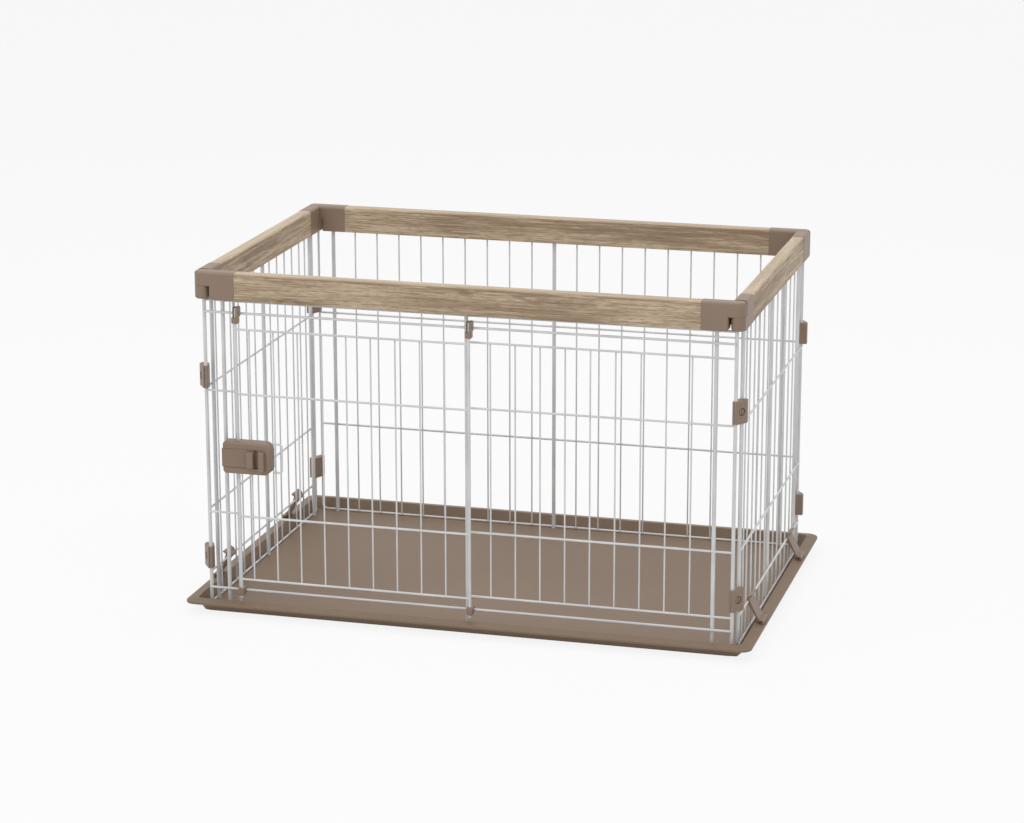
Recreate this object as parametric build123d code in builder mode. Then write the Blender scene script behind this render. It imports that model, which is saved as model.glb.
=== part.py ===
from build123d import *
import os

os.makedirs("parts", exist_ok=True)

# A folding wire pen with a sliding front door, standing in a shallow tray.
# Millimetres, +Z up, front towards -Y, the tray's feet on z = 0.

# Plan, between the corner pins
pen_wide = 876.0
pen_deep = 563.6
corner_x = pen_wide / 2
corner_y = pen_deep / 2

# Rails and their end caps
rail_thick = 23.0
rail_tall = 45.4
rail_top = 571.4
rail_under = rail_top - rail_tall
rail_round = 4.5
rail_under_round = 1.2
cap_long = 57.6
cap_lower_back = 14.6
cap_proud = 0.5
cap_corner = 3.5
knuckle_r = rail_thick / 2 + 0.2
knuckle_play = 1.0
knuckle_gap = 0.3
pin_r = 3.0
pin_play = 0.1
pin_wall = 5.4
groove_wide = 13.0
groove_deep = 8.0
spigot_long = 22.0
spigot_wall = 4.0
spigot_play = 0.3

# Wires
thick_r = 3.3
post_r = 3.0
jamb_r = 2.25
frame_r = 2.0
cross_r = 1.8
thin_r = 1.3
door_post_r = 2.4
weld = 0.1

# Tray
tray_beyond_x = 34.0
tray_beyond_y = 36.5
tray_wide = pen_wide + 2 * tray_beyond_x
tray_deep = pen_deep + 2 * tray_beyond_y
lip_across = 17.3
lip_drop = 3.4
lip_skirt = 3.0
rim_top = 24.0
floor_top = 6.0
base_under = 2.5
tray_wall = 3.2
wall_lean = 7.7
tray_corner = 18.0
well_corner = 9.0
lip_round = 1.8
foot_long = 60.0
foot_step_x = 230.0
foot_step_y = 190.0

# Front panel
end_post_in = 2.5
side_post_in = 34.0
jamb_in = 53.0
jamb_x = -corner_x + jamb_in
centre_x = 3.0
thin_step = 40.57
front_cross_z = (60.8, 168.5, 373.9, 481.0)
stub_z = (168.5, 373.9)
top_wire_z = rail_under - 3.5
rail_wire_z = top_wire_z - 17.2
lower_wire_z = 40.0

# Door
door_left = jamb_x + 6.8
door_right = centre_x + 7.4
door_y = -corner_y - 13.2
door_foot = 27.0
door_head = rail_wire_z + 9.7
door_thin_left = 21.8
door_thin_step = 40.76
door_thin_count = 9
door_cross_z = (60.5, 168.0, 373.5, 480.5)

# Side and back panels
side_cross_z = (59.0, 167.0, 373.2)
side_thick_y = corner_y - 38.5
side_thin_step = 38.5
side_thin_end = side_thick_y - 21.3
side_leg_in = 16.8
back_cross_z = (168.5, 374.5)
back_thick_x = corner_x - 32.3
bend_r = 9.0

# Levels worked out from the sizes above
rail_mid = rail_top - rail_tall / 2
split_z = rail_mid - 0.4
groove_top = rail_under + groove_deep
seam_x = corner_x - cap_long
seam_y = corner_y - cap_long
front_y = -corner_y
post_front = front_y - thick_r
end_post_x = corner_x - end_post_in
thick_x = corner_x - side_post_in


# Tray: lip, leaning walls, floor and feet in one moulding
lip_edge_z = rim_top - lip_drop
rim_x = tray_wide / 2 - lip_across
rim_y = tray_deep / 2 - lip_across
floor_x = rim_x - wall_lean
floor_y = rim_y - wall_lean
skirt_z = lip_edge_z - lip_skirt
lever_y = side_thin_step * 4.5
lever_wide = side_thin_step - 2 * thin_r - 1.9
wire_side_x = corner_x + 2.0 + thin_r + cross_r - weld
lever_z = side_cross_z[0]
lug_top = rim_top + 2.5
lug_nose = 23.0
lug_nose_tall = 1.5
lug_neck = 1.4
lug_deep = 8.0
lug_wide = 20.0

with BuildPart() as tray:
    with BuildSketch(Plane.XY.offset(base_under)):
        RectangleRounded(2 * floor_x + 2 * tray_wall, 2 * floor_y + 2 * tray_wall, tray_corner)
    with BuildSketch(Plane.XY.offset(lip_edge_z)):
        RectangleRounded(2 * rim_x + 2 * tray_wall, 2 * rim_y + 2 * tray_wall, tray_corner)
    loft()
    with BuildSketch(Plane.XY.offset(skirt_z)):
        RectangleRounded(tray_wide, tray_deep, tray_corner)
    extrude(amount=lip_skirt)
    with BuildSketch(Plane.XY.offset(lip_edge_z)):
        RectangleRounded(tray_wide, tray_deep, tray_corner)
    with BuildSketch(Plane.XY.offset(lip_edge_z + lip_round / 2)):
        RectangleRounded(tray_wide - lip_round, tray_deep - lip_round, tray_corner)
    loft()
    with BuildSketch(Plane.XY.offset(lip_edge_z + lip_round / 2)):
        RectangleRounded(tray_wide - lip_round, tray_deep - lip_round, tray_corner)
    with BuildSketch(Plane.XY.offset(rim_top)):
        RectangleRounded(2 * rim_x, 2 * rim_y, well_corner)
    loft()
    # hollow under the lip, which leaves a thin skirt
    with BuildSketch(Plane.XY.offset(skirt_z)):
        RectangleRounded(tray_wide - 5, tray_deep - 5, tray_corner)
        RectangleRounded(
            2 * rim_x + 2 * tray_wall + 1, 2 * rim_y + 2 * tray_wall + 1, tray_corner, mode=Mode.SUBTRACT
        )
    extrude(amount=lip_skirt - 1.4, mode=Mode.SUBTRACT)
    # the well
    with BuildSketch(Plane.XY.offset(floor_top)):
        RectangleRounded(2 * floor_x, 2 * floor_y, well_corner)
    with BuildSketch(Plane.XY.offset(rim_top + 1)):
        RectangleRounded(2 * rim_x + 0.4, 2 * rim_y + 0.4, well_corner)
    loft(mode=Mode.SUBTRACT)
    # feet: four at the corners and two rows of small ones between
    with BuildSketch(Plane.XY):
        with GridLocations(2 * floor_x - foot_long, 2 * floor_y - 24, 2, 2):
            RectangleRounded(foot_long, 14, 5)
        with GridLocations(2 * floor_x - 14, 2 * floor_y - 70, 2, 2):
            RectangleRounded(14, foot_long, 5)
        with GridLocations(foot_step_x, 2 * floor_y - 40, 3, 2):
            SlotOverall(40, 12)
        with GridLocations(foot_step_x, foot_step_y, 3, 3):
            Circle(9)
    extrude(amount=base_under + 0.5)
    # lugs on the lip, which the side levers reach over
    for sx in (-1, 1):
        for sy in (-1, 1):
            lug_out = wire_side_x + lug_nose
            with BuildSketch(Plane.XZ.offset(-sy * lever_y)):
                with BuildLine():
                    Polyline(
                        (sx * (lug_out - lug_deep), lip_edge_z - 1),
                        (sx * (lug_out - lug_neck), lip_edge_z - 1),
                        (sx * (lug_out - lug_neck), lug_top - lug_nose_tall),
                        (sx * lug_out, lug_top - lug_nose_tall),
                        (sx * lug_out, lug_top - 0.4),
                        (sx * (lug_out - 0.6), lug_top),
                        (sx * (lug_out - lug_deep + 1), lug_top),
                        close=True,
                    )
                make_face()
            extrude(amount=lug_wide / 2, both=True)
tray.part.label = "tray"
export_step(tray.part, "parts/tray.step")


# Front and back rails: wood-look bars with a groove below for the wires
spigot_low = groove_top + 3.0
spigot_high = rail_top - 6.0
spigot_mid = (spigot_low + spigot_high) / 2
spigot_tall = spigot_high - spigot_low
spigot_thick = rail_thick - 2 * spigot_wall

for name, sy in (("front", -1), ("back", 1)):
    with BuildPart() as rail:
        with BuildSketch(Plane.YZ.offset(-seam_x)) as section:
            with Locations((sy * corner_y, rail_mid - cap_proud / 2)):
                Rectangle(rail_thick - 2 * cap_proud, rail_tall - cap_proud)
            fillet(section.vertices().group_by(Axis.Y)[-1], rail_round)
            fillet(section.vertices().group_by(Axis.Y)[0], rail_under_round)
            with Locations((sy * corner_y, rail_under + groove_deep / 2)):
                Rectangle(groove_wide, groove_deep, mode=Mode.SUBTRACT)
        extrude(amount=2 * seam_x)
        with Locations((-seam_x, sy * corner_y, spigot_mid), (seam_x, sy * corner_y, spigot_mid)):
            Box(2 * spigot_long + 4, spigot_thick, spigot_tall, mode=Mode.SUBTRACT)
    rail.part.label = f"rail_{name}"
    export_step(rail.part, f"parts/rail_{name}.step")

# Side rails, the same bar turned
for name, sx in (("left", -1), ("right", 1)):
    with BuildPart() as rail:
        with BuildSketch(Plane.XZ.offset(-seam_y)) as section:
            with Locations((sx * corner_x, rail_mid - cap_proud / 2)):
                Rectangle(rail_thick - 2 * cap_proud, rail_tall - cap_proud)
            fillet(section.vertices().group_by(Axis.Y)[-1], rail_round)
            fillet(section.vertices().group_by(Axis.Y)[0], rail_under_round)
            with Locations((sx * corner_x, rail_under + groove_deep / 2)):
                Rectangle(groove_wide, groove_deep, mode=Mode.SUBTRACT)
        extrude(amount=2 * seam_y)
        with Locations((sx * corner_x, -seam_y, spigot_mid), (sx * corner_x, seam_y, spigot_mid)):
            Box(spigot_thick, 2 * spigot_long + 4, spigot_tall, mode=Mode.SUBTRACT)
    rail.part.label = f"rail_{name}"
    export_step(rail.part, f"parts/rail_{name}.step")


# Rail caps: front and back caps carry the upper knuckle, side caps the lower one
upper_low = split_z + knuckle_gap / 2
lower_high = split_z - knuckle_gap / 2
pin_low = rail_under + 0.5
pin_high = rail_top - pin_wall
cap_end_x = corner_x - cap_lower_back
groove_end = back_thick_x + thick_r + 1.5
web_to = corner_x - rail_thick / 2 - 0.4
web_thick = 2.0
web_up = 6.0

for end, sy in (("front", -1), ("back", 1)):
    for side, sx in (("left", -1), ("right", 1)):
        centre = (sx * corner_x, sy * corner_y, 0)
        with BuildPart() as cap:
            with BuildSketch(Plane.YZ.offset(sx * seam_x)) as section:
                with Locations((sy * corner_y, rail_mid)):
                    Rectangle(rail_thick, rail_tall)
                fillet(section.vertices().group_by(Axis.Y)[-1], rail_round)
                fillet(section.vertices().group_by(Axis.Y)[0], rail_under_round)
            extrude(amount=sx * cap_long)
            # the lower half stops short of the other cap's knuckle
            with BuildSketch(Plane.XY.offset(rail_under - 1)):
                with Locations((sx * (cap_end_x + cap_long / 2), sy * corner_y)):
                    Rectangle(cap_long, rail_thick + 2)
            extrude(amount=upper_low - rail_under + 1, mode=Mode.SUBTRACT)
            low_edges = cap.edges().filter_by(Axis.Y).group_by(Axis.Z)[0].sort_by(Axis.X)
            fillet(low_edges[-1 if sx > 0 else 0], cap_corner)
            # a thin web at the back of the gap, towards the inside of the pen
            with BuildSketch(Plane.XY.offset(rail_under + web_up)):
                web_y = corner_y - rail_thick / 2 + web_thick / 2
                with Locations((sx * (cap_end_x + web_to - 0.5) / 2, sy * web_y)):
                    Rectangle(web_to - cap_end_x + 0.5, web_thick)
            extrude(amount=upper_low - rail_under - web_up + 0.5)
            # upper knuckle with a rounded top
            with BuildSketch(Plane(origin=centre, x_dir=(1, 0, 0), z_dir=(0, -1, 0))) as barrel:
                with Locations((knuckle_r / 2, (upper_low + rail_top) / 2)):
                    Rectangle(knuckle_r, rail_top - upper_low)
                fillet(barrel.vertices().group_by(Axis.Y)[-1].group_by(Axis.X)[-1], rail_round)
            revolve(axis=Axis(centre, (0, 0, 1)))
            # groove for the wires, and the bore for the corner pin
            with BuildSketch(Plane.XY.offset(rail_under)):
                with Locations((sx * (seam_x + groove_end) / 2, sy * corner_y)):
                    Rectangle(groove_end - seam_x, groove_wide)
            extrude(amount=groove_deep, mode=Mode.SUBTRACT)
            with BuildSketch(Plane.XY.offset(upper_low)):
                with Locations(centre[:2]):
                    Circle(pin_r + pin_play)
            extrude(amount=pin_high + 0.5 - upper_low, mode=Mode.SUBTRACT)
            with Locations((sx * (seam_x - spigot_long / 2), sy * corner_y, spigot_mid)):
                Box(spigot_long, spigot_thick - 2 * spigot_play, spigot_tall - 2 * spigot_play)
        cap.part.label = f"{end}_rail_cap_{side}"
        export_step(cap.part, f"parts/{end}_rail_cap_{side}.step")

        with BuildPart() as cap:
            with BuildSketch(Plane.XZ.offset(-sy * seam_y)) as section:
                with Locations((sx * corner_x, rail_mid)):
                    Rectangle(rail_thick, rail_tall)
                fillet(section.vertices().group_by(Axis.Y)[-1], rail_round)
                fillet(section.vertices().group_by(Axis.Y)[0], rail_under_round)
            extrude(amount=-sy * cap_long)
            # the upper half is hollowed round the other cap's knuckle
            with BuildSketch(Plane.XY.offset(lower_high)):
                with Locations(centre[:2]):
                    Circle(knuckle_r + knuckle_play)
                with Locations((sx * (corner_x - rail_thick / 2), sy * corner_y)):
                    Rectangle(rail_thick + 2, rail_thick + 2 * knuckle_play)
            extrude(amount=rail_top - lower_high + 1, mode=Mode.SUBTRACT)
            # lower knuckle with a rounded foot
            with BuildSketch(Plane.XY.offset(rail_under)):
                with Locations((sx * corner_x, sy * (corner_y + knuckle_r / 2 + 1))):
                    Rectangle(rail_thick + 2, knuckle_r + 2)
            extrude(amount=rail_tall, mode=Mode.SUBTRACT)
            with BuildSketch(Plane(origin=centre, x_dir=(1, 0, 0), z_dir=(0, -1, 0))) as barrel:
                with Locations((knuckle_r / 2, (lower_high + rail_under) / 2)):
                    Rectangle(knuckle_r, lower_high - rail_under)
                fillet(barrel.vertices().group_by(Axis.Y)[0].group_by(Axis.X)[-1], cap_corner)
            revolve(axis=Axis(centre, (0, 0, 1)))
            with BuildSketch(Plane.XY.offset(rail_under)):
                with Locations((sx * corner_x, sy * (seam_y + corner_y - side_leg_in + frame_r + 1.5) / 2)):
                    Rectangle(groove_wide, corner_y - side_leg_in + frame_r + 1.5 - seam_y)
            extrude(amount=groove_deep, mode=Mode.SUBTRACT)
            with BuildSketch(Plane.XY.offset(rail_under)):
                with Locations(centre[:2]):
                    Circle(pin_r + pin_play)
            extrude(amount=lower_high - rail_under, mode=Mode.SUBTRACT)
            with Locations((sx * corner_x, sy * (seam_y - spigot_long / 2), spigot_mid)):
                Box(spigot_thick - 2 * spigot_play, spigot_long, spigot_tall - 2 * spigot_play)
        cap.part.label = f"{side}_rail_cap_{end}"
        export_step(cap.part, f"parts/{side}_rail_cap_{end}.step")

# Corner pins through both knuckles
with BuildPart() as corner_pins:
    with BuildSketch(Plane.XY.offset(pin_low)):
        with GridLocations(pen_wide, pen_deep, 2, 2):
            Circle(pin_r)
    extrude(amount=pin_high - pin_low)
corner_pins.part.label = "corner_pins"
export_step(corner_pins.part, "parts/corner_pins.step")


# Front panel, fixed right half
post_y = post_front + post_r
front_cross_y = front_y - cross_r + 0.1
front_thin_y = front_cross_y + cross_r + thin_r - weld
floor_tall = groove_top - floor_top

with BuildPart() as front_fixed_grid:
    with BuildSketch(Plane.XY.offset(floor_top)):
        with Locations((end_post_x, post_y)):
            Circle(post_r)
    extrude(amount=rail_under - floor_top)
    with BuildSketch(Plane.XY.offset(floor_top)):
        with Locations((centre_x, post_y)):
            Circle(post_r)
        with Locations((thick_x, front_y)):
            Circle(thick_r)
    extrude(amount=floor_tall)
    with BuildSketch(Plane.XY.offset(front_cross_z[0])):
        with Locations(*[(centre_x - 2 + thin_step * k, front_thin_y) for k in range(1, 10)]):
            Circle(thin_r)
    extrude(amount=front_cross_z[-1] - front_cross_z[0])
    with BuildSketch(Plane.YZ.offset(centre_x)):
        with Locations(*[(front_cross_y, z) for z in front_cross_z]):
            Circle(cross_r)
    extrude(amount=end_post_x - centre_x)
front_fixed_grid.part.label = "front_fixed_grid"
export_step(front_fixed_grid.part, "parts/front_fixed_grid.step")

# Front panel, left edge: end post, thick post, door jamb and two short cross wires
with BuildPart() as front_left_grid:
    with BuildSketch(Plane.XY.offset(floor_top)):
        with Locations((-end_post_x, post_y)):
            Circle(post_r)
    extrude(amount=rail_under - floor_top)
    with BuildSketch(Plane.XY.offset(floor_top)):
        with Locations((-thick_x, front_y)):
            Circle(thick_r)
        with Locations((jamb_x, post_front + jamb_r)):
            Circle(jamb_r)
    extrude(amount=floor_tall)
    with BuildSketch(Plane.YZ.offset(-end_post_x)):
        with Locations(*[(front_cross_y, z) for z in stub_z]):
            Circle(cross_r)
    extrude(amount=end_post_x + jamb_x)
front_left_grid.part.label = "front_left_grid"
export_step(front_left_grid.part, "parts/front_left_grid.step")

# Three long wires across the front: top wire, door rail wire, lower door wire
rail_wire_y = post_front - frame_r
with BuildPart() as front_top_wire:
    with BuildSketch(Plane.YZ.offset(-end_post_x)):
        with Locations((front_y + thick_r + frame_r, top_wire_z)):
            Circle(frame_r)
    extrude(amount=2 * end_post_x)
front_top_wire.part.label = "front_top_wire"
export_step(front_top_wire.part, "parts/front_top_wire.step")

for name, z in (("door_rail_wire", rail_wire_z), ("door_lower_wire", lower_wire_z)):
    with BuildPart() as long_wire:
        with BuildSketch(Plane.YZ.offset(-end_post_x)):
            with Locations((rail_wire_y, z)):
                Circle(frame_r)
        extrude(amount=2 * end_post_x)
        fillet(long_wire.edges().filter_by(GeomType.CIRCLE), 0.6)
    long_wire.part.label = name
    export_step(long_wire.part, f"parts/{name}.step")


# Back panel
back_y = corner_y
back_thin_y = back_y + 0.7
back_cross_y = back_thin_y + thin_r + cross_r - weld
back_frame_y = back_y + 3.2
back_leg_x = corner_x - 3.2
frame_z = floor_top + frame_r

with BuildPart() as back_grid:
    with BuildLine() as path:
        FilletPolyline(
            (-back_leg_x, back_frame_y, rail_under),
            (-back_leg_x, back_frame_y, frame_z),
            (back_leg_x, back_frame_y, frame_z),
            (back_leg_x, back_frame_y, rail_under),
            radius=bend_r,
        )
    with BuildSketch(Plane(origin=path.line @ 0, z_dir=path.line % 0)):
        Circle(frame_r)
    sweep()
    with BuildSketch(Plane.XY.offset(floor_top)):
        with Locations((0, back_y), (-back_thick_x, back_y), (back_thick_x, back_y)):
            Circle(thick_r)
    extrude(amount=floor_tall)
    with BuildSketch(Plane.XY.offset(frame_z)):
        with Locations(*[(s * thin_step * k, back_thin_y) for k in range(1, 10) for s in (-1, 1)]):
            Circle(thin_r)
    extrude(amount=groove_top - frame_z)
    with BuildSketch(Plane.YZ.offset(-back_leg_x)):
        with Locations(*[(back_cross_y, z) for z in back_cross_z]):
            Circle(cross_r)
    extrude(amount=2 * back_leg_x)
back_grid.part.label = "back_grid"
export_step(back_grid.part, "parts/back_grid.step")

# Side panels
side_leg_y = corner_y - side_leg_in
side_thin_x = corner_x + 2.0
side_frame_x = corner_x + 3.5

for side, sx in (("left", -1), ("right", 1)):
    with BuildPart() as side_grid:
        with BuildLine() as path:
            FilletPolyline(
                (sx * side_frame_x, -side_leg_y, groove_top),
                (sx * side_frame_x, -side_leg_y, frame_z),
                (sx * side_frame_x, side_leg_y, frame_z),
                (sx * side_frame_x, side_leg_y, groove_top),
                radius=bend_r,
            )
        with BuildSketch(Plane(origin=path.line @ 0, z_dir=path.line % 0)):
            Circle(frame_r)
        sweep()
        with BuildSketch(Plane.XY.offset(floor_top)):
            with Locations(*[(sx * corner_x, y) for y in (-side_thick_y, 0, side_thick_y)]):
                Circle(thick_r)
        extrude(amount=floor_tall)
        with BuildSketch(Plane.XY.offset(frame_z)):
            with Locations(*[(sx * side_thin_x, side_thin_step * k) for k in range(-5, 6) if k]):
                Circle(thin_r)
            with Locations(*[(sx * side_thin_x, s * side_thin_end) for s in (-1, 1)]):
                Circle(thin_r)
        extrude(amount=groove_top - frame_z)
        with BuildSketch(Plane.XZ.offset(-side_leg_y)):
            with Locations(*[(sx * wire_side_x, z) for z in side_cross_z]):
                Circle(cross_r)
        extrude(amount=2 * side_leg_y)
    side_grid.part.label = f"{side}_grid"
    export_step(side_grid.part, f"parts/{side}_grid.step")


# Corner clips: each ties an end post to the side panel's end wire
clip_tall = 37.0
clip_low = (71.0, 376.8)
clip_face_r = 6.4
clip_face_deep = 3.0
clip_head_play = 1.4
clip_head_tall = 2.3
clip_slot_wide = 1.6
clip_slot_deep = 1.3
clip_pin_r = 2.5
clip_pin_long = 9.0
slot_wide = 2.0
play = 0.1
face_a = (3.0, -5.5)
face_b = (15.7, 12.5)
face_mid = ((face_a[0] + face_b[0]) / 2, (face_a[1] + face_b[1]) / 2)
face_turn = (face_b[1] - face_a[1], face_a[0] - face_b[0])

pin_spots = []
for end, sy, px, py, pr in (
    ("front", -1, end_post_x, -post_y, post_r),
    ("back", 1, back_leg_x, back_frame_y, frame_r),
):
    for side, sx in (("left", -1), ("right", 1)):
        for level, low in (("lower", clip_low[0]), ("upper", clip_low[1])):
            outline = (
                (-4.4, -5.5),
                face_a,
                face_b,
                (face_b[0], 21.5),
                (2.5, 21.5),
                (-4.4, 6.0),
            )
            spot = Vector(
                sx * (end_post_x + face_mid[0]), sy * (-post_y - face_mid[1]), low + clip_tall / 2 + 1
            )
            out = Vector(sx * face_turn[0], -sy * face_turn[1], 0)
            pin_spots.append(Plane(origin=spot, x_dir=(0, 0, 1), z_dir=out))
            with BuildPart() as clip:
                with BuildSketch(Plane.XY.offset(low)):
                    with BuildLine():
                        Polyline(
                            *[(sx * (end_post_x + u), sy * (-post_y - v)) for u, v in outline], close=True
                        )
                    make_face()
                extrude(amount=clip_tall)
                fillet(clip.edges().filter_by(Axis.Z), 1.5)
                fillet(clip.faces().sort_by(Axis.Z)[-1].edges(), 1.0)
                fillet(clip.faces().sort_by(Axis.Z)[0].edges(), 1.0)
                # holes for the post and the side wire, with the slot that lets them in
                with BuildSketch(Plane.XY.offset(low)):
                    with Locations((sx * px, sy * py)):
                        Circle(pr + play)
                    with Locations((sx * side_frame_x, sy * side_leg_y)):
                        Circle(frame_r + play)
                    with Locations((sx * px, sy * (py + 5))):
                        Rectangle(slot_wide, 10)
                extrude(amount=clip_tall, mode=Mode.SUBTRACT)
                # round seat for the push pin
                with BuildSketch(pin_spots[-1]):
                    Circle(clip_face_r)
                extrude(amount=-clip_face_deep, mode=Mode.SUBTRACT)
                with BuildSketch(pin_spots[-1]):
                    Circle(clip_pin_r + play)
                extrude(amount=-clip_face_deep - clip_pin_long - 0.5, mode=Mode.SUBTRACT)
            clip.part.label = f"clip_{end}_{side}_{level}"
            export_step(clip.part, f"parts/clip_{end}_{side}_{level}.step")

# Push pins, one in each corner clip, with a slotted head
with BuildPart() as clip_pins:
    for plane in pin_spots:
        with BuildSketch(plane.offset(-clip_face_deep)):
            Circle(clip_face_r - clip_head_play)
        extrude(amount=clip_head_tall)
        # a coin slot across the head
        with BuildSketch(plane.offset(-clip_face_deep + clip_head_tall)):
            SlotOverall(1.6 * (clip_face_r - clip_head_play), clip_slot_wide)
        extrude(amount=-clip_slot_deep, mode=Mode.SUBTRACT)
        with BuildSketch(plane.offset(-clip_face_deep)):
            Circle(clip_pin_r)
        extrude(amount=-clip_pin_long)
clip_pins.part.label = "clip_pins"
export_step(clip_pins.part, "parts/clip_pins.step")


# Side levers: each turns on the lowest cross wire and reaches over a tray lug
lever_play = 0.1
lever_ring = 2.3
for side, sx in (("left", -1), ("right", 1)):
    for end, sy in (("front", -1), ("back", 1)):
        bore_r = cross_r + lever_play
        ring_r = bore_r + lever_ring
        lug_rel = lug_top - lever_z
        tip_z = lug_rel - lug_nose_tall - 1.2
        inner = lug_nose + 0.4
        flap = (
            (ring_r * 0.94, 0.0),
            (18.8, lug_rel + 3.2),
            (inner + 1.8, lug_rel + 2.4),
            (inner + 2.6, lug_rel + 1.4),
            (inner + 2.6, tip_z - 0.4),
            (inner + 1.9, tip_z - 0.9),
            (lug_nose - 1.0, tip_z - 0.9),
            (lug_nose - 1.0, tip_z),
            (inner, tip_z + 0.7),
            (inner, lug_rel + 0.3),
            (17.6, lug_rel + 0.9),
            (0.4, -ring_r * 0.94),
        )
        tab = ((-2.6, 3.0), (0.2, 8.6), (6.0, 11.6), (7.4, 9.8), (2.6, 7.0), (2.2, 2.6))
        with BuildPart() as lever:
            with BuildSketch(Plane.XZ.offset(-sy * lever_y)):
                for shape in (flap, tab):
                    with BuildLine():
                        Polyline(*[(sx * (wire_side_x + u), lever_z + v) for u, v in shape], close=True)
                    make_face()
                with Locations((sx * wire_side_x, lever_z)):
                    Circle(ring_r)
                    Circle(bore_r, mode=Mode.SUBTRACT)
                # open mouth on the inner side, which snaps over the wire
                with Locations((sx * (wire_side_x - ring_r), lever_z - 1.2)):
                    Rectangle(2 * ring_r, 2.4, mode=Mode.SUBTRACT)
            extrude(amount=lever_wide / 2, both=True)
        lever.part.label = f"tray_lever_{side}_{end}"
        export_step(lever.part, f"parts/tray_lever_{side}_{end}.step")


# Sliding door: welded wire panel
door_wide = door_right - door_left
door_thin_x = [door_left + door_thin_left + door_thin_step * k for k in range(door_thin_count)]
door_cross_y = door_y - 0.4
door_thin_y = door_cross_y + cross_r + thin_r - weld

with BuildPart() as door_grid:
    with BuildSketch(Plane.XY.offset(door_foot)):
        with Locations((door_left, door_y), (door_right, door_y)):
            Circle(door_post_r)
    extrude(amount=door_head - door_foot)
    fillet(door_grid.edges().filter_by(GeomType.CIRCLE).group_by(Axis.Z)[0], door_post_r * 0.8)
    fillet(door_grid.edges().filter_by(GeomType.CIRCLE).group_by(Axis.Z)[-1], door_post_r * 0.4)
    with BuildSketch(Plane.XY.offset(door_cross_z[0])):
        with Locations(*[(x, door_thin_y) for x in door_thin_x]):
            Circle(thin_r)
    extrude(amount=door_cross_z[-1] - door_cross_z[0])
    with BuildSketch(Plane.YZ.offset(door_left)):
        with Locations(*[(door_cross_y, z) for z in door_cross_z]):
            Circle(cross_r)
    extrude(amount=door_wide)
door_grid.part.label = "door_grid"
export_step(door_grid.part, "parts/door_grid.step")

# U-shaped wire beside the latch, welded to a thin wire of the door
bracket_x = -304.0
bracket_low = 246.2
bracket_high = 294.0
bracket_y = door_thin_y - thin_r - cross_r
with BuildPart() as latch_bracket:
    with BuildLine() as path:
        FilletPolyline(
            (door_thin_x[1] - 1.0, bracket_y, bracket_high),
            (bracket_x, bracket_y, bracket_high),
            (bracket_x, bracket_y, bracket_low),
            (door_thin_x[1] - 1.0, bracket_y, bracket_low),
            radius=5.0,
        )
    with BuildSketch(Plane(origin=path.line @ 0, z_dir=path.line % 0)):
        Circle(cross_r)
    sweep()
latch_bracket.part.label = "latch_bracket"
export_step(latch_bracket.part, "parts/latch_bracket.step")


# Hooks over the rail wire and guides over the lower wire, on the door's posts
hook_wide = 10.6
hook_front = door_y - door_post_r - 2.2
hook_back = rail_wire_y - frame_r - 0.4
loop_back = rail_wire_y + frame_r + 2.3
loop_from = 0.6
hook_cheek = 2.8
hook_shoulder = 2.4
hook_low = 490.0
hook_mid = 500.0
hook_high = 517.0
guide_low = 33.0
guide_high = 46.0

for side, px in (("left", door_left), ("right", door_right)):
    for kind, low, high, wire_z in (
        ("hook", hook_low, hook_high, rail_wire_z),
        ("guide", guide_low, guide_high, lower_wire_z),
    ):
        loop_low = wire_z - frame_r - 3.0
        with BuildPart() as holder:
            # body round the post
            with BuildSketch(Plane.YZ.offset(px - hook_wide / 2)) as body:
                with Locations(((hook_front + hook_back) / 2, (low + high) / 2)):
                    Rectangle(hook_back - hook_front, high - low)
                fillet(body.vertices().group_by(Axis.X)[0], 2.0)
            extrude(amount=hook_wide)
            # loop over the back of the wire, at the body's right
            with BuildSketch(Plane.YZ.offset(px + loop_from)) as loop:
                with Locations(((hook_back - 2 + loop_back) / 2, (loop_low + high) / 2)):
                    Rectangle(loop_back - hook_back + 2, high - loop_low)
                fillet(loop.vertices().group_by(Axis.X)[-1].group_by(Axis.Y)[-1], 3.5)
                fillet(loop.vertices().group_by(Axis.X)[-1].group_by(Axis.Y)[0], 0.8)
            extrude(amount=hook_wide / 2 - loop_from)
            with BuildSketch(Plane.YZ.offset(px + loop_from)):
                with Locations((rail_wire_y, wire_z)):
                    Circle(frame_r + play)
                with Locations((rail_wire_y, wire_z - 5)):
                    Rectangle(2 * frame_r + 2 * play, 10)
            extrude(amount=hook_wide / 2 - loop_from, mode=Mode.SUBTRACT)
            fillet(holder.edges().filter_by(Axis.Z).group_by(Axis.Y)[0], 1.5)
            # the post's hole, and on the hooks a slot that shows the post's end
            with BuildSketch(Plane.XY.offset(low)):
                with Locations((px, door_y)):
                    Circle(door_post_r + play)
            extrude(amount=high - low, mode=Mode.SUBTRACT)
            if kind == "hook":
                with BuildSketch(Plane.XY.offset(hook_mid)):
                    with Locations((px, door_y - 5)):
                        Rectangle(2 * door_post_r, 10)
                    with Locations((px - hook_cheek - 5, (hook_front + loop_back) / 2)):
                        Rectangle(10, loop_back - hook_front + 4)
                extrude(amount=high - hook_mid, mode=Mode.SUBTRACT)
                # rounded shoulder at the top right
                with BuildSketch(Plane.XZ.offset(-loop_back - 1)):
                    with Locations((px + hook_wide / 2, high)):
                        Rectangle(2 * hook_shoulder, 2 * hook_shoulder)
                    with Locations((px + hook_wide / 2 - hook_shoulder, high - hook_shoulder)):
                        Circle(hook_shoulder, mode=Mode.SUBTRACT)
                extrude(amount=loop_back - hook_front + 2, mode=Mode.SUBTRACT)
        holder.part.label = f"door_{kind}_{side}"
        export_step(holder.part, f"parts/door_{kind}_{side}.step")


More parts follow.
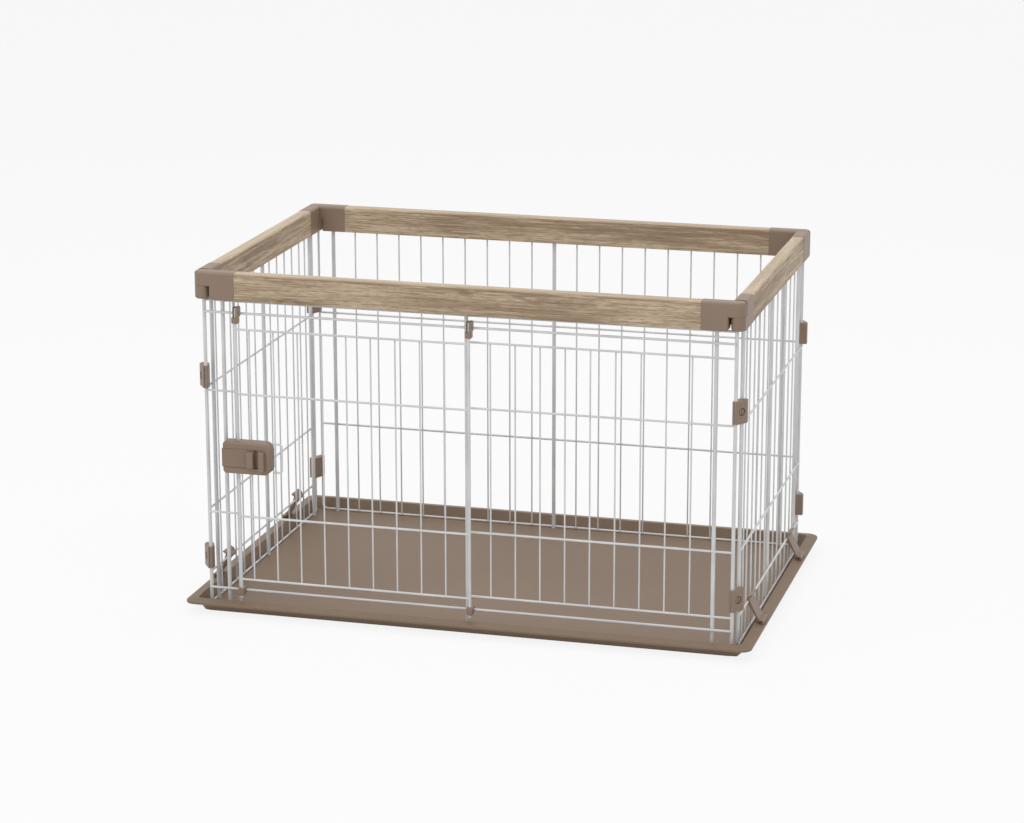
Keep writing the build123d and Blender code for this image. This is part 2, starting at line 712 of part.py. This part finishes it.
# Latch housing: a shell over the door's wires, with a channel for the slider
latch_left = -thick_x + 3.0
latch_right = latch_left + 81.5
latch_low = 243.0
latch_high = 296.3
latch_front = -309.0
latch_wall = 2.0
latch_travel = 6.0
cover_thick = 4.4
cover_y = door_thin_y + thin_r + 0.2
latch_mid_x = (latch_left + latch_right) / 2
latch_mid_z = (latch_low + latch_high) / 2
channel_right = latch_right - 20.0
channel_low = 253.6
channel_high = 285.4
channel_deep = 4.5
floor_front = latch_front + channel_deep
floor_back = floor_front + latch_wall
slide_left = latch_left - 1.0
latch_round_left = 6.0
latch_round_right = 13.0
latch_edge = 4.0
slide_right = channel_right - latch_travel - 1.0
neck_left = latch_left + 9.0
neck_right = neck_left + 28.0
neck_z = (channel_low + channel_high) / 2
neck_tall = 7.0
foot_tall = 14.0
foot_right = neck_right + 2.0
rib_x = latch_right - 15.5
boss_x = rib_x
boss_z = (253.0, 289.0)
boss_r = 3.2
screw_r = 1.2
knob_out = 7.5
rest_x = latch_right - 13.5
rest_wide = 9.5
rest_tall = 34.0
rest_z = 266.5
claw_left = latch_left + latch_wall + 0.4
claw_thick = 3.2
claw_back = post_front - 0.5
arm_front = floor_back + 0.3
arm_back = arm_front + 2.2

with BuildPart() as latch_housing:
    with BuildSketch(Plane.XZ.offset(-cover_y)) as outline:
        with Locations((latch_mid_x, latch_mid_z)):
            Rectangle(latch_right - latch_left, latch_high - latch_low)
        fillet(outline.vertices().group_by(Axis.X)[0], latch_round_left)
        fillet(outline.vertices().group_by(Axis.X)[-1], latch_round_right)
    extrude(amount=cover_y - latch_front)
    fillet(latch_housing.faces().sort_by(Axis.Y)[0].edges(), latch_edge)
    with BuildSketch(Plane.XZ.offset(-cover_y)):
        with Locations((latch_mid_x, latch_mid_z)):
            RectangleRounded(
                latch_right - latch_left - 2 * latch_wall,
                latch_high - latch_low - 2 * latch_wall,
                latch_round_right - latch_wall,
            )
    extrude(amount=cover_y - latch_front - 2 * latch_wall, mode=Mode.SUBTRACT)
    # walls and floor of the channel, bosses and the spring's stop
    with BuildSketch(Plane.XZ.offset(-floor_back)):
        with Locations(((latch_left + 1 + channel_right + latch_wall) / 2, neck_z)):
            Rectangle(
                channel_right + latch_wall - latch_left - 1, channel_high - channel_low + 2 * latch_wall
            )
    extrude(amount=floor_back - latch_front - 1)
    with BuildSketch(Plane.XZ.offset(-cover_y)):
        with Locations((boss_x, boss_z[0]), (boss_x, boss_z[1])):
            Circle(boss_r)
    extrude(amount=cover_y - latch_front - 1)
    with BuildSketch(Plane.XZ.offset(-door_y)):
        with Locations((rib_x + 1, neck_z)):
            Rectangle(2, foot_tall)
    extrude(amount=door_y - latch_front - 1)
    # channel, open at its left end, and the slot in its floor
    with BuildSketch(Plane.XZ.offset(-floor_front)):
        with Locations(((latch_left - 5 + channel_right) / 2, neck_z)):
            Rectangle(channel_right - latch_left + 5, channel_high - channel_low)
    extrude(amount=channel_deep + 1, mode=Mode.SUBTRACT)
    with BuildSketch(Plane.XZ.offset(-floor_back)):
        with Locations(((neck_left + neck_right + latch_travel) / 2, neck_z)):
            Rectangle(neck_right - neck_left + latch_travel + 0.6, neck_tall + 0.6)
    extrude(amount=channel_deep, mode=Mode.SUBTRACT)
    # notches for the door's wires
    with BuildSketch(Plane.XZ.offset(-cover_y)):
        with Locations((door_thin_x[0], latch_mid_z)):
            Rectangle(2 * thin_r + 0.6, latch_high - latch_low + 2)
    extrude(amount=2 * thin_r + 0.5, mode=Mode.SUBTRACT)
    with BuildSketch(Plane.XZ.offset(-cover_y)):
        with Locations((door_left, latch_high), (door_left, latch_low)):
            Rectangle(2 * door_post_r + 0.6, 2 * latch_wall + 1)
    extrude(amount=cover_y - door_y + door_post_r + 0.3, mode=Mode.SUBTRACT)
    with BuildSketch(Plane.XZ.offset(-cover_y)):
        with Locations((boss_x, boss_z[0]), (boss_x, boss_z[1])):
            Circle(screw_r + play)
    extrude(amount=11, mode=Mode.SUBTRACT)
    # the fixed thumb rest
    with BuildSketch(Plane.XZ.offset(-latch_front + knob_out)):
        with Locations((rest_x, rest_z)):
            RectangleRounded(rest_wide, rest_tall, 3)
    extrude(amount=-knob_out - 1)
    fillet(latch_housing.faces().sort_by(Axis.Y)[0].edges(), 2.0)
latch_housing.part.label = "latch_housing"
export_step(latch_housing.part, "parts/latch_housing.step")

# Back cover of the latch, with a window for the claw
with BuildPart() as latch_back_cover:
    with BuildSketch(Plane.XZ.offset(-cover_y - cover_thick)) as outline:
        with Locations((latch_mid_x, latch_mid_z)):
            Rectangle(latch_right - latch_left, latch_high - latch_low)
        fillet(outline.vertices().group_by(Axis.X)[0], latch_round_left)
        fillet(outline.vertices().group_by(Axis.X)[-1], latch_round_right)
    extrude(amount=cover_thick)
    fillet(latch_back_cover.faces().sort_by(Axis.Y)[-1].edges(), 1.2)
    with BuildSketch(Plane.XZ.offset(-cover_y - cover_thick)):
        with Locations((claw_left + (claw_thick + latch_travel) / 2, neck_z)):
            Rectangle(claw_thick + latch_travel + 1.2, foot_tall + 1.2)
    extrude(amount=cover_thick, mode=Mode.SUBTRACT)
    with BuildSketch(Plane.XZ.offset(-cover_y - cover_thick)):
        with Locations((boss_x, boss_z[0]), (boss_x, boss_z[1])):
            Circle(screw_r + play)
    extrude(amount=cover_thick, mode=Mode.SUBTRACT)
    with BuildSketch(Plane.XZ.offset(-cover_y - cover_thick)):
        with Locations((boss_x, boss_z[0]), (boss_x, boss_z[1])):
            Circle(2.6)
    extrude(amount=1.6, mode=Mode.SUBTRACT)
latch_back_cover.part.label = "latch_back_cover"
export_step(latch_back_cover.part, "parts/latch_back_cover.step")

# Two screws that hold the cover on the housing
with BuildPart() as latch_screws:
    with BuildSketch(Plane.XZ.offset(-cover_y - cover_thick + 0.2)):
        with Locations((boss_x, boss_z[0]), (boss_x, boss_z[1])):
            Circle(2.4)
    extrude(amount=1.4)
    with BuildSketch(Plane.XZ.offset(-cover_y - cover_thick + 1.6)):
        with Locations((boss_x, boss_z[0]), (boss_x, boss_z[1])):
            Circle(screw_r)
    extrude(amount=11.5)
    with BuildSketch(Plane.XZ.offset(-cover_y - cover_thick + 0.2)):
        with Locations((boss_x, boss_z[0]), (boss_x, boss_z[1])):
            Rectangle(3.0, 0.7)
            Rectangle(0.7, 3.0)
    extrude(amount=0.7, mode=Mode.SUBTRACT)
latch_screws.part.label = "latch_screws"
export_step(latch_screws.part, "parts/latch_screws.step")

# Return spring, drawn at its pressed length against the stop
spring_r = 2.1
spring_wire = 0.35
spring_long = rib_x - foot_right - latch_travel - 0.5
spring_y = arm_front + spring_r + spring_wire + 0.3
with BuildPart() as latch_spring:
    with BuildLine() as path:
        Helix(
            pitch=(spring_long - 2 * spring_wire) / 9,
            height=spring_long - 2 * spring_wire,
            radius=spring_r,
            center=(rib_x - spring_wire, spring_y, neck_z),
            direction=(-1, 0, 0),
        )
    with BuildSketch(Plane(origin=path.line @ 0, z_dir=path.line % 0)):
        Circle(spring_wire)
    sweep()
latch_spring.part.label = "latch_spring"
export_step(latch_spring.part, "parts/latch_spring.step")

# Latch slider: plate with a thumb knob in front, foot and claw behind
with BuildPart() as latch_slider:
    plate_front = latch_front + 0.8
    plate_back = floor_front - 0.3
    with BuildSketch(Plane.XZ.offset(-plate_back)):
        with Locations(((slide_left + slide_right) / 2, neck_z)):
            RectangleRounded(slide_right - slide_left, channel_high - channel_low - 0.8, 1.5)
    extrude(amount=plate_back - plate_front)
    with BuildSketch(Plane.XZ.offset(-plate_front)):
        with Locations((slide_right - 6.2, neck_z - 1.0)):
            RectangleRounded(12.0, 27.0, 3)
    extrude(amount=knob_out + 0.8)
    fillet(latch_slider.faces().sort_by(Axis.Y)[0].edges(), 2.0)
    # neck through the floor, foot and arm behind it
    with BuildSketch(Plane.XZ.offset(-arm_front)):
        with Locations(((neck_left + neck_right) / 2, neck_z)):
            Rectangle(neck_right - neck_left, neck_tall)
    extrude(amount=arm_front - plate_back)
    with BuildSketch(Plane.XZ.offset(-arm_back)):
        with Locations(((claw_left + foot_right) / 2, neck_z)):
            Rectangle(foot_right - claw_left, foot_tall)
    extrude(amount=arm_back - arm_front)
    # claw, which reaches back for the thick post
    with BuildSketch(Plane.XZ.offset(-claw_back)):
        with Locations((claw_left + claw_thick / 2, neck_z)):
            Rectangle(claw_thick, foot_tall)
    extrude(amount=claw_back - arm_front)
    fillet(latch_slider.faces().sort_by(Axis.Y)[-1].edges().filter_by(Axis.Z), 1.0)
latch_slider.part.label = "latch_slider"
export_step(latch_slider.part, "parts/latch_slider.step")
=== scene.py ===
import math

import bmesh
import bpy
from mathutils import Matrix, Vector

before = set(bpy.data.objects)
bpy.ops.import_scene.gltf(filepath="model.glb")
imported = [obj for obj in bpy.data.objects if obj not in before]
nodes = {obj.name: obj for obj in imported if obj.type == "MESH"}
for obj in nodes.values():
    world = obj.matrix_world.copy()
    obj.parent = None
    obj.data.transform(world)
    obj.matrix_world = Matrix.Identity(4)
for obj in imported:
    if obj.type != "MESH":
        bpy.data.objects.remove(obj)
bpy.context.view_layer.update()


# Tray: a wide shallow pan of moulded plastic, which everything else stands
# in. A coarse leather-like grain is etched into its mould, with finer cells
# in it, and the colour drifts a little from end to end.
def make(tree, kind, settings, sockets):
    """Add a node: its settings first, then a value or a link for each socket."""
    node = tree.nodes.new(kind)
    for name, value in settings.items():
        setattr(node, name, value)
    for name, value in sockets.items():
        socket = node.inputs[name]
        if isinstance(value, Shade):
            tree.links.new(value.socket, socket)
        elif socket.type == "RGBA":
            socket.default_value = (*value, 1)
        else:
            socket.default_value = value
    return node


class Shade:
    """A shader value or colour that stands in plain expressions."""

    def __init__(self, socket):
        self.socket, self.tree = socket, socket.id_data

    def math(self, operation, *values):
        node = make(self.tree, "ShaderNodeMath", {"operation": operation}, dict(enumerate(values)))
        return Shade(node.outputs[0])

    def __add__(self, other):
        return self.math("ADD", self, other)

    def __sub__(self, other):
        return self.math("SUBTRACT", self, other)

    def __rsub__(self, other):
        return self.math("SUBTRACT", other, self)

    def __mul__(self, other):
        return self.math("MULTIPLY", self, other)

    __radd__, __rmul__ = __add__, __mul__

    def sine(self):
        return self.math("SINE", self)

    def either(self, other):
        return self.math("MAXIMUM", self, other)

    def ramp(self, low, high):
        """0 at low, 1 at high, with soft ends."""
        settings = {"interpolation_type": "SMOOTHSTEP"}
        sockets = {"Value": self, "From Min": low, "From Max": high}
        return Shade(make(self.tree, "ShaderNodeMapRange", settings, sockets).outputs["Result"])


class Surface:
    """A material whose textures lie in object coordinates."""

    def __init__(self, name, rough, **uniform):
        self.material = bpy.data.materials.new(name)
        self.material.use_nodes = True
        self.tree = self.material.node_tree
        self.shader = self.tree.nodes["Principled BSDF"]
        self.shader.inputs["Roughness"].default_value = rough
        for socket, value in uniform.items():
            self.shader.inputs[socket.replace("_", " ")].default_value = value
        self.place = Shade(make(self.tree, "ShaderNodeTexCoord", {}, {}).outputs["Object"])

    def axis(self, index):
        return Shade(make(self.tree, "ShaderNodeSeparateXYZ", {}, {"Vector": self.place}).outputs[index])

    def stretched(self, scale, shift=(0, 0, 0)):
        sockets = {"Vector": self.place, "Scale": scale, "Location": shift}
        return Shade(make(self.tree, "ShaderNodeMapping", {}, sockets).outputs["Vector"])

    def noise(self, scale, detail=3.0, rough=0.55, place=None, bend=0.0):
        sockets = {"Scale": scale, "Detail": detail, "Roughness": rough, "Distortion": bend}
        sockets["Vector"] = place or self.place
        return Shade(make(self.tree, "ShaderNodeTexNoise", {}, sockets).outputs["Fac"])

    def mix(self, factor, low, high):
        sockets = {"Factor": factor, "A": low, "B": high}
        return Shade(make(self.tree, "ShaderNodeMix", {"data_type": "RGBA"}, sockets).outputs["Result"])

    def finish(self, color, rough, height, strength, distance):
        """Colour, roughness and a bump of the given depth in metres."""
        sockets = {"Height": height, "Strength": strength, "Distance": distance}
        bump = make(self.tree, "ShaderNodeBump", {}, sockets)
        for name, socket in (
            ("Base Color", color.socket),
            ("Roughness", rough.socket),
            ("Normal", bump.outputs["Normal"]),
        ):
            self.tree.links.new(socket, self.shader.inputs[name])

    def cover(self, *names):
        for name in names:
            nodes[name].data.materials.clear()
            nodes[name].data.materials.append(self.material)


tray = Surface("tray_plastic", 0.5, Specular_IOR_Level=0.4)
leather = tray.noise(420.0, 3.0, 0.6)
cells = tray.noise(1400.0, 2.0, 0.5)
cloud = tray.noise(3.0, 2.0, 0.5)
tray_tone = tray.mix(cloud.ramp(0.3, 0.7), (0.186, 0.125, 0.08), (0.207, 0.141, 0.091))
tray_tone = tray.mix(leather.ramp(0.35, 0.65) * 0.5, tray_tone, (0.236, 0.162, 0.106))
tray.finish(tray_tone, leather * 0.2 + 0.4, leather * 0.7 + cells * 0.3, 0.3, 0.0005)
tray.cover("tray")

# Wire panels: steel wires welded into flat grilles, and the bent wire beside
# the latch. They are powder-coated white, which dries to a faint orange peel.
coat = Surface("powder_coat", 0.3, Specular_IOR_Level=0.5)
peel = coat.noise(900.0, 2.0, 0.5)
shade = coat.noise(14.0, 2.0, 0.5)
coat_tone = coat.mix(shade.ramp(0.3, 0.7), (0.57, 0.575, 0.58), (0.66, 0.66, 0.66))
coat.finish(coat_tone, peel * 0.14 + 0.2, peel, 0.12, 0.0002)
coat.cover(
    "front_fixed_grid",
    "front_left_grid",
    "front_top_wire",
    "door_rail_wire",
    "door_lower_wire",
    "back_grid",
    "left_grid",
    "right_grid",
    "door_grid",
    "latch_bracket",
)

# Rails: four bars in a printed oak wrap, pushed on the spigots of their caps.
# The print runs along each bar: broad bands, fine streaks, short dark pores,
# a few knots, and a brown line just under the top edge. The top face and upper
# edge are painted lighter, a painted highlight.
rail_top = 0.5714
for label, names, along in (
    ("wood_x", ("rail_front", "rail_back"), 0),
    ("wood_y", ("rail_left", "rail_right"), 1),
):
    wood = Surface(label, 0.55, Specular_IOR_Level=0.35)

    def grain(lengthwise, across, shift):
        scale = [across, across, across]
        scale[along] = lengthwise
        return wood.stretched(scale, shift)

    broad = wood.noise(1.0, 4.0, 0.6, grain(3.0, 42.0, (0, 3, 1)), 0.6)
    fine = wood.noise(1.0, 5.0, 0.7, grain(9.0, 420.0, (5, 0, 2)), 0.3)
    pores = wood.noise(1.0, 2.0, 0.6, grain(60.0, 1500.0, (1, 2, 7)))
    knot_field = wood.noise(1.0, 2.0, 0.5, grain(5.5, 21.0, (9.3, 1.7, 4.1)))
    knots = (knot_field * 46.0).sine().ramp(0.1, 0.95) * knot_field.ramp(0.66, 0.74)
    below = rail_top - wood.axis(2)
    top_line = below.ramp(0.0086, 0.0046) * below.ramp(0.001, 0.0042)
    # painted highlight: 1 on the rails' top face, fading out about 4 mm down their sides
    painted_top_highlight = below.ramp(0.0044, 0.0002)
    tone = wood.mix(broad.ramp(0.4, 0.6), (0.325, 0.235, 0.148), (0.545, 0.425, 0.292))
    tone = wood.mix(fine.ramp(0.47, 0.62) * 0.72, tone, (0.215, 0.15, 0.094))
    tone = wood.mix((1 - fine).ramp(0.53, 0.66) * 0.5, tone, (0.66, 0.545, 0.4))
    tone = wood.mix(pores.ramp(0.5, 0.62) * 0.6, tone, (0.17, 0.115, 0.072))
    tone = wood.mix(knots * 0.6, tone, (0.17, 0.115, 0.072))
    tone = wood.mix(top_line * fine.ramp(0.4, 0.55) * 0.6, tone, (0.24, 0.13, 0.075))
    # painted highlight: the rails' top face and upper edge mixed towards a pale colour
    tone = wood.mix(painted_top_highlight * 0.45, tone, (0.66, 0.55, 0.41))
    wood.finish(tone, fine * 0.16 + 0.47, fine * 0.7 + pores * 0.5, 0.25, 0.0004)
    wood.cover(*names)

# Rail caps: moulded taupe plastic, two at each corner, whose ends make the
# halves of a knuckle. The mould leaves a fine etched grain.
taupe = Surface("taupe_plastic", 0.42, Specular_IOR_Level=0.45)
etch = taupe.noise(2600.0, 2.0, 0.5)
drift = taupe.noise(9.0, 2.0, 0.5)
taupe_tone = taupe.mix(drift.ramp(0.3, 0.7), (0.23, 0.16, 0.113), (0.256, 0.181, 0.13))
taupe.finish(taupe_tone, etch * 0.14 + 0.36, etch, 0.12, 0.0002)
taupe.cover(*[name for name in nodes if "_rail_cap_" in name])

# Corner pins: bright steel rods turned on a lathe, pressed through the two
# halves of each knuckle.
steel = Surface("bright_steel", 0.3, Metallic=1.0)
turned = steel.noise(1.0, 2.0, 0.5, steel.stretched((300, 300, 6000)))
steel_tone = steel.mix(turned.ramp(0.3, 0.7), (0.52, 0.52, 0.53), (0.66, 0.66, 0.66))
steel.finish(steel_tone, turned * 0.2 + 0.2, turned, 0.1, 0.0001)
steel.cover("corner_pins")

# Corner clips and side levers: the caps' taupe plastic. The clips snap round
# the end wires of two panels and take a slotted push pin, and the levers snap
# on a side panel's lowest cross wire and reach over a lug of the tray.
taupe.cover(*[name for name in nodes if name.startswith(("clip_", "tray_lever_"))])

# Door hooks and guides: small taupe holders on the ends of the door's posts.
# The hooks hang on the upper rail wire, the guides run under the lower one.
taupe.cover(*[name for name in nodes if name.startswith(("door_hook_", "door_guide_"))])

# Latch: a taupe housing and back cover, screwed together round the door's
# wires, with the thumb slider and its steel return spring between them.
taupe.cover("latch_housing", "latch_back_cover", "latch_slider")
steel.cover("latch_screws", "latch_spring")


# Floor: a pale sweep for the studio. The camera, mirrors and glass see mostly
# plain white there, and the part's soft shadow stays on it.
def seen_straight(tree):
    """1 for a ray from the camera, or one that a mirror or glass sends on."""
    ray = make(tree, "ShaderNodeLightPath", {}, {}).outputs
    mirrored = Shade(ray["Is Glossy Ray"]).either(Shade(ray["Is Transmission Ray"]))
    return Shade(ray["Is Camera Ray"]).either(mirrored)


floor_reach = 30
floor_white = 0.88
white = (0.98, 0.98, 0.98)
sweep = bmesh.new()
bmesh.ops.create_grid(sweep, x_segments=1, y_segments=1, size=floor_reach)
floor_mesh = bpy.data.meshes.new("floor")
sweep.to_mesh(floor_mesh)
sweep.free()
floor = bpy.data.objects.new("floor", floor_mesh)
bpy.context.scene.collection.objects.link(floor)
pale = Surface("floor_pale", 0.9, Specular_IOR_Level=0.1)
pale_tone = pale.mix(pale.noise(2.0).ramp(0.2, 0.8), (0.9, 0.9, 0.9), (0.92, 0.92, 0.92))
pale.tree.links.new(pale_tone.socket, pale.shader.inputs["Base Color"])
glow = make(pale.tree, "ShaderNodeEmission", {}, {"Color": white, "Strength": 1.0})
floor_blend = {
    0: seen_straight(pale.tree) * floor_white,
    1: Shade(pale.shader.outputs[0]),
    2: Shade(glow.outputs[0]),
}
blend = make(pale.tree, "ShaderNodeMixShader", {}, floor_blend)
pale.tree.links.new(blend.outputs[0], pale.tree.nodes["Material Output"].inputs["Surface"])
floor_mesh.materials.append(pale.material)

# World: soft white light from all round, and plain white where the camera
# looks past the floor.
world = bpy.data.worlds.new("studio")
bpy.context.scene.world = world
world.use_nodes = True
sky = world.node_tree
sky.nodes.clear()
soft = make(sky, "ShaderNodeBackground", {}, {"Color": (1, 1, 1), "Strength": 0.62})
plain = make(sky, "ShaderNodeBackground", {}, {"Color": white, "Strength": 1.0})
sky_blend = {0: seen_straight(sky), 1: Shade(soft.outputs[0]), 2: Shade(plain.outputs[0])}
pick = make(sky, "ShaderNodeMixShader", {}, sky_blend)
make(sky, "ShaderNodeOutputWorld", {}, {"Surface": Shade(pick.outputs[0])})

# Lamps: a large key from the front left above, a fill from the right and a
# wide one overhead, all turned to the middle of the pen.
lit_point = Vector((0, 0, 0.25))
for name, spot, size, power in (
    ("key", (-2.0, -2.6, 3.4), 2.6, 46.0),
    ("fill", (2.8, -2.2, 2.2), 2.4, 17.0),
    ("top", (0.2, 0.6, 3.6), 3.0, 36.0),
):
    lamp = bpy.data.lights.new(name, "AREA")
    lamp.size = size
    lamp.energy = power
    holder = bpy.data.objects.new(name, lamp)
    bpy.context.scene.collection.objects.link(holder)
    holder.location = spot
    holder.rotation_euler = (lit_point - Vector(spot)).to_track_quat("-Z", "Y").to_euler()

# Camera: the photograph's angle and distance, with a small roll.
azimuth, elevation, roll = math.radians(15.3), math.radians(15.02), math.radians(-0.07)
distance = 5.096
aim = Vector((0.0002, 0, 0.294))
lens = bpy.data.cameras.new("camera")
lens.sensor_fit = "HORIZONTAL"
lens.sensor_width = 36.0
lens.lens = 106.9
camera = bpy.data.objects.new("camera", lens)
bpy.context.scene.collection.objects.link(camera)
toward = Vector(
    (
        math.sin(azimuth) * math.cos(elevation),
        -math.cos(azimuth) * math.cos(elevation),
        math.sin(elevation),
    )
)
camera.location = aim + toward * distance
camera.rotation_euler = (
    (-toward).to_track_quat("-Z", "Y") @ Matrix.Rotation(roll, 3, "Z").to_quaternion()
).to_euler()
bpy.context.scene.camera = camera
bpy.context.scene.view_settings.view_transform = "Standard"
